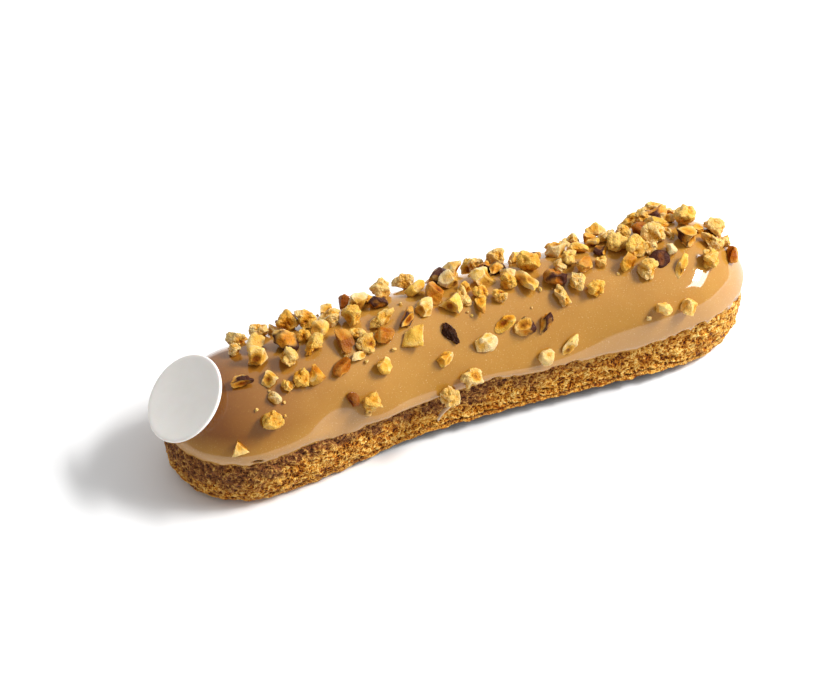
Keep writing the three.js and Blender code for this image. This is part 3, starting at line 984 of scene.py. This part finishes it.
def strew_nuts():
    """The lone nuts, then the strewn ones from the largest down, drawn as the solids draw them."""
    draws, looks = Draws(NUT_SEED), Draws(LOOK_SEED)
    nuts = [dict(zip(("distance", "across", "size", "form", "kind"), row)) for row in LONE_NUTS]
    for i in range(NUT_COUNT):
        size = NUT_SIZES[0] + (NUT_SIZES[1] - NUT_SIZES[0]) * i / (NUT_COUNT - 1)
        form = list(FORMS)[int(draws.one() * draws.one() * len(FORMS))]
        for _ in range(PLACE_TRIES):
            distance, across = nut_place(draws)
            if has_room(nuts, distance, across, size):
                kind = pick_kind(looks)
                nuts.append(dict(distance=distance, across=across, size=size, form=form, kind=kind))
                break
    for nut in nuts:
        set_nut(nut, draws)
        set_look(nut, looks)
    return nuts


def nut_place(draws):
    if draws.one() < LOOSE_SHARE:
        return draws.between(LOOSE_ALONG), draws.between(LOOSE_ACROSS)
    heap = HEAPS[int(draws.one() * len(HEAPS))]
    return [middle + 2 * spread * draws.bell() for middle, spread in zip(heap, HEAP_SPREAD)]


def from_disc(distance, across):
    return math.hypot(DISC_AT[0] - distance, DISC_AT[1] - across)


def has_room(nuts, distance, across, size):
    """Whether a nut is clear of the others and of the disc, and high enough on the icing."""
    if from_disc(distance, across) < DISC_CLEARANCE:
        return False
    if distance > LOOSE_ALONG[1] or abs(across) > LOOSE_ACROSS[1]:
        return False
    return all(
        math.hypot(nut["distance"] - distance, nut["across"] - across) >= NUT_SPACING * (nut["size"] + size)
        for nut in nuts
    )


def pick_kind(looks):
    value = looks.one()
    for name, kind in KINDS.items():
        value -= kind["share"]
        if value < 0:
            return name
    return "crumb"


def nut_seat(distance, across):
    """A place on the icing as it is dressed here, with its fuller parts."""
    point, normal, forward = icing_place(distance, across)
    beyond = distance - min(max(distance, SPINE_START), SPINE_END)
    from_crest = math.hypot(beyond, across)
    return point + fullness(distance, across / from_crest, from_crest) * normal, normal, forward


def set_nut(nut, draws):
    """A nut's cuts and its setting, drawn in the solids' order."""
    nut["cuts"] = [(draws.direction(), draws.between(CUT_DEPTHS)) for _ in range(NUT_CUTS)]
    spin = 2 * math.pi * draws.one()
    tilt = NUT_TILT * draws.direction()
    point, normal, forward = nut_seat(nut["distance"], nut["across"])
    up = normal + tilt
    up /= np.linalg.norm(up)
    front = math.cos(spin) * forward + math.sin(spin) * np.cross(normal, forward)
    front -= up * (front @ up)
    front /= np.linalg.norm(front)
    nut.update(point=point, normal=normal, axes=np.array([front, np.cross(up, front), up]))


def set_look(nut, looks):
    """The tones of a nut's cuts, its further cuts and bites, and the side where it has skin."""
    kind = KINDS[nut["kind"]]
    tone = looks.one() ** 2
    nut["cuts"] = [(*cut, tone + CUT_TONE) for cut in nut["cuts"]]
    nut["cuts"] += [
        (looks.direction(), looks.between(kind["depths"]), tone + looks.between(FACET_TONES))
        for _ in range(kind["facets"])
    ]
    for i in range(kind["sides"]):
        turn = 2 * math.pi * (i + looks.between(SIDE_SWAY)) / kind["sides"]
        side = np.array([math.cos(turn), math.sin(turn), 0])
        nut["cuts"].append((side, SIDE_DEPTH[kind["sides"]], tone + looks.between(SIDE_TONES)))
    nut["bites"] = [(looks.direction(), looks.between(BITE_REACH)) for _ in range(kind["bites"])]
    side = looks.direction() + SKIN_SIDE
    nut["skin_side"] = side / np.linalg.norm(side)


def chopped(points, cuts, rough):
    """Points pressed back to rough cuts, the tone of each point's last cut, and how far it was pressed."""
    tone = np.full(len(points), cuts[0][2])
    pressed = np.zeros(len(points))
    for normal, depth, cut_tone in cuts:
        beyond = np.maximum(points @ normal - depth - rough, 0)
        points = points - beyond[:, None] * normal
        tone = np.where(beyond > CUT_SHOWS, cut_tone, tone)
        pressed += beyond
    return points, tone, pressed


def bitten(points, bites):
    """Points pushed in where a piece broke away."""
    for side, reach in bites:
        near = part_way(np.linalg.norm(points - BITE_AT * side, axis=1), reach, 0)
        points = points - BITE_DEPTH * reach * np.outer(near, side)
    return points


def narrowed(points, side):
    """Points brought together along one direction."""
    side = side / np.linalg.norm(side)
    return points - (1 - FLAKE_WIDTH) * np.outer(points @ side, side)


def grain_height(points):
    """Height of rounded grains of two sizes, from about -0.5 to 0.5."""
    coarse, number = cell_noise(points, *GRAIN_NOISE)
    fine, _ = cell_noise(points, *FINE_GRAIN_NOISE)
    return (0.4 + 0.35 * number) * dome(coarse, GRAIN_RADIUS) + 0.3 * dome(fine, GRAIN_RADIUS) - 0.5


def nut_body(nut, ball, index):
    """A nut's form about its own middle, with the tone of its cuts, how far they press in, and its ridges."""
    kind = KINDS[nut["kind"]]
    own = ball + OWN_FORM * index
    lobes = 0.6 * soft_noise(own, *LOBE_NOISE) + 0.8 * soft_noise(own, *SMALL_LOBE_NOISE)
    body = ball * (1 + kind["lumps"] * lobes)[:, None]
    body, tone, pressed = chopped(body, nut["cuts"], CUT_ROUGHNESS * soft_noise(own, *CUT_NOISE))
    body = bitten(body, nut["bites"])
    body *= NUT_FULLNESS / np.linalg.norm(body, axis=1).mean()
    ridge = np.linalg.norm(body, axis=1) - NUT_FULLNESS
    stretch = np.array(FORMS[nut["form"]]) * [1, 1, kind["thick"]]
    return body * stretch * nut["size"] / 2, tone, pressed, ridge


def nut_points(nut, ball, index):
    """The points of one chopped nut in its place, with its relief, roast and skin from 0 to 1."""
    kind = KINDS[nut["kind"]]
    body, tone, pressed, ridge = nut_body(nut, ball, index)
    spot = body + OWN_SURFACE * index
    grain = kind["grains"] * grain_height(spot)
    ripple = soft_noise(spot, *NUT_RIPPLE_NOISE)
    outward = body / np.linalg.norm(body, axis=1)[:, None]
    placed = (body + outward * (grain + NUT_RIPPLE * ripple)[:, None]) @ nut["axes"]
    if nut["kind"] == "flake":
        placed = narrowed(placed, np.cross(nut["normal"], FLAKE_LIE))
    height = placed @ nut["normal"]
    lowest = height.min()
    placed += nut["point"] + nut["normal"] * (-lowest - NUT_SINK)
    # Painted shade: the foot and the hollows are given low relief, which the material darkens
    foot = part_way(height - lowest, NUT_FOOT_SHADE, 0)
    relief = np.clip(0.58 + 1.3 * ridge + 0.9 * grain + 0.1 * ripple - 0.4 * foot, 0, 1)
    roast = kind["roast"] * np.clip(tone + 0.12 * ripple + 0.25 * soft_noise(spot, *ROAST_NOISE), 0, 1)
    outside = np.clip(1.4 - 4 * pressed, 0, 1)
    facing = outward @ nut["axes"] @ nut["skin_side"]
    skinned = outside * np.clip(5 * (facing - 1 + 2 * kind["skin"] + 0.3 * ripple), 0, 1)
    return placed, relief, roast, skinned


def build_nuts(nuts):
    """One piece for each kind of nut."""
    ball, ball_faces = unit_ball(NUT_STEPS)
    for name, kind in KINDS.items():
        shapes = [nut_points(nut, ball, i) for i, nut in enumerate(nuts) if nut["kind"] == name]
        points, relief, roast, skinned = (np.concatenate(values) for values in zip(*shapes))
        faces = repeated_faces(ball, ball_faces, len(shapes))
        material = nut_material(f"nut_{name}", kind)
        piece = make_piece(f"nuts_{name}", points, faces, material, relief=relief, roast=roast, skin=skinned)


def build_bits(nuts):
    """Small crumbs that fell off the nuts and stuck to the icing beside them."""
    looks = Draws(LOOK_SEED + 1)
    ball, ball_faces = unit_ball(BIT_STEPS)
    shapes = []
    while len(shapes) < BIT_COUNT:
        nut = nuts[int(looks.one() * len(nuts))]
        distance = nut["distance"] + BIT_SPREAD * looks.bell()
        across = nut["across"] + BIT_SPREAD * looks.bell()
        size = looks.between(BIT_SIZES)
        cuts = [(looks.direction(), looks.between(BIT_CUT_DEPTHS), looks.one()) for _ in range(BIT_CUTS)]
        if from_disc(distance, across) < DISC_RADIUS + 1 or abs(across) > BIT_ACROSS:
            continue
        local, roast, _ = chopped(ball, cuts, 0)
        point, normal, _ = nut_seat(distance, across)
        shapes.append((local * size / 2 + point + BIT_RISE * size * normal, BIT_ROAST * roast))
    points, roast = (np.concatenate(values) for values in zip(*shapes))
    faces = repeated_faces(ball, ball_faces, BIT_COUNT)
    material = nut_material("nut_bits", KINDS["crumb"])
    relief = np.full(len(points), BIT_RELIEF)
    piece = make_piece("nut_bits", points, faces, material, relief=relief, roast=roast)


# The disc

def disc_profile():
    """Radii and heights from the middle of the underside, round the rim, to the middle of the top."""
    edge = DISC_THICKNESS / 2
    flat = DISC_RADIUS - edge
    radii = np.linspace(0, flat, DISC_ROWS)
    turn = np.linspace(-QUARTER_TURN, QUARTER_TURN, DISC_RIM_ROWS)[1:-1]
    dish = DISC_DISH * (radii / DISC_RADIUS) ** 2
    return np.concatenate([
        np.stack([radii, dish], axis=1),
        np.stack([flat + edge * np.cos(turn), dish[-1] + edge * (1 + np.sin(turn))], axis=1),
        np.stack([radii[::-1], dish[::-1] + DISC_THICKNESS], axis=1),
    ])


def build_disc():
    """A shallow dish with a rounded rim."""
    r, z = disc_profile().T[..., None]
    around = np.linspace(0, 2 * math.pi, DISC_STEPS, endpoint=False)
    local = np.stack([r * np.cos(around), r * np.sin(around), z + 0 * around], axis=-1)
    local[..., 2] += DISC_SWELL * soft_noise(local, *DISC_SWELL_NOISE)
    point, normal, forward = icing_place(*DISC_AT)
    axes = np.array([forward, np.cross(normal, forward), normal])
    points = local @ axes + point + GAP * normal
    piece = make_piece("chocolate_disc", points, ring_faces(*points.shape[:2])[:, ::-1], disc_material())
    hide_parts("disc")


# Stage

def pointing(azimuth, elevation):
    """The direction at angles in degrees, azimuth 0 along +X and 90 along +Y."""
    turn, rise = math.radians(azimuth), math.radians(elevation)
    return Vector((math.cos(turn) * math.cos(rise), math.sin(turn) * math.cos(rise), math.sin(rise)))


def aim(thing, back, right):
    """Turns an object so that its local Z is back and its local X is right."""
    up = back.cross(right)
    thing.rotation_euler = Matrix((right, up, back)).transposed().to_euler()


def build_camera():
    back = pointing(CAMERA_AZIMUTH - 90, CAMERA_ELEVATION)
    camera = bpy.data.objects.new("camera", bpy.data.cameras.new("camera"))
    camera.data.lens = CAMERA_LENS
    camera.data.sensor_width = CAMERA_SENSOR
    camera.location = (Vector(CAMERA_AIM) + CAMERA_DISTANCE * back) * METRE
    aim(camera, back, pointing(CAMERA_AZIMUTH, 0))
    bpy.context.scene.collection.objects.link(camera)
    bpy.context.scene.camera = camera


def build_light(name, azimuth, elevation, distance, size, power):
    """A soft panel that faces the eclair."""
    light = bpy.data.lights.new(name, "AREA")
    light.shape = "RECTANGLE"
    light.size, light.size_y = size
    light.energy = power
    panel = bpy.data.objects.new(name, light)
    back = pointing(azimuth, elevation)
    panel.location = distance * back
    aim(panel, back, pointing(azimuth + 90, 0))
    bpy.context.scene.collection.objects.link(panel)


def build_floor():
    material, _, _, shader = new_material("pale_floor")
    set_inputs(shader, {"Base Color": (0.9, 0.9, 0.9, 1), "Roughness": 0.9, "Specular IOR Level": 0.1})
    mesh = bpy.data.meshes.new("floor")
    corners = [(FLOOR_HALF * x, FLOOR_HALF * y, 0) for x, y in ((-1, -1), (1, -1), (1, 1), (-1, 1))]
    mesh.from_pydata(corners, [], [(0, 1, 2, 3)])
    mesh.materials.append(material)
    floor = bpy.data.objects.new("floor", mesh)
    bpy.context.scene.collection.objects.link(floor)


def build_world():
    """White light from all round, brighter from the plain end, from behind and from above."""
    world = bpy.data.worlds.new("studio")
    world.use_nodes = True
    nodes, links = world.node_tree.nodes, world.node_tree.links
    facing = nodes.new("ShaderNodeVectorMath")
    facing.operation = "DOT_PRODUCT"
    facing.inputs[1].default_value = SKY_SLOPE
    links.new(nodes.new("ShaderNodeTexCoord").outputs["Generated"], facing.inputs[0])
    strength = range_node(nodes, links, facing.outputs["Value"], -1.0, 1.0, SKY_LIGHT - 1.0, SKY_LIGHT + 1.0)
    set_inputs(nodes["Background"], {"Color": (1, 1, 1, 1)})
    links.new(strength, nodes["Background"].inputs["Strength"])
    bpy.context.scene.world = world


def build_stage():
    settings = bpy.context.scene.view_settings
    settings.view_transform = "Standard"
    settings.look = "None"
    build_world()
    build_floor()
    build_light("key", **KEY)
    build_light("key_middle", **KEY_MIDDLE)


build_camera()
build_stage()
nuts = strew_nuts()
build_choux()
build_icing()
build_drip()
build_nuts(nuts)
build_bits(nuts)
build_disc()
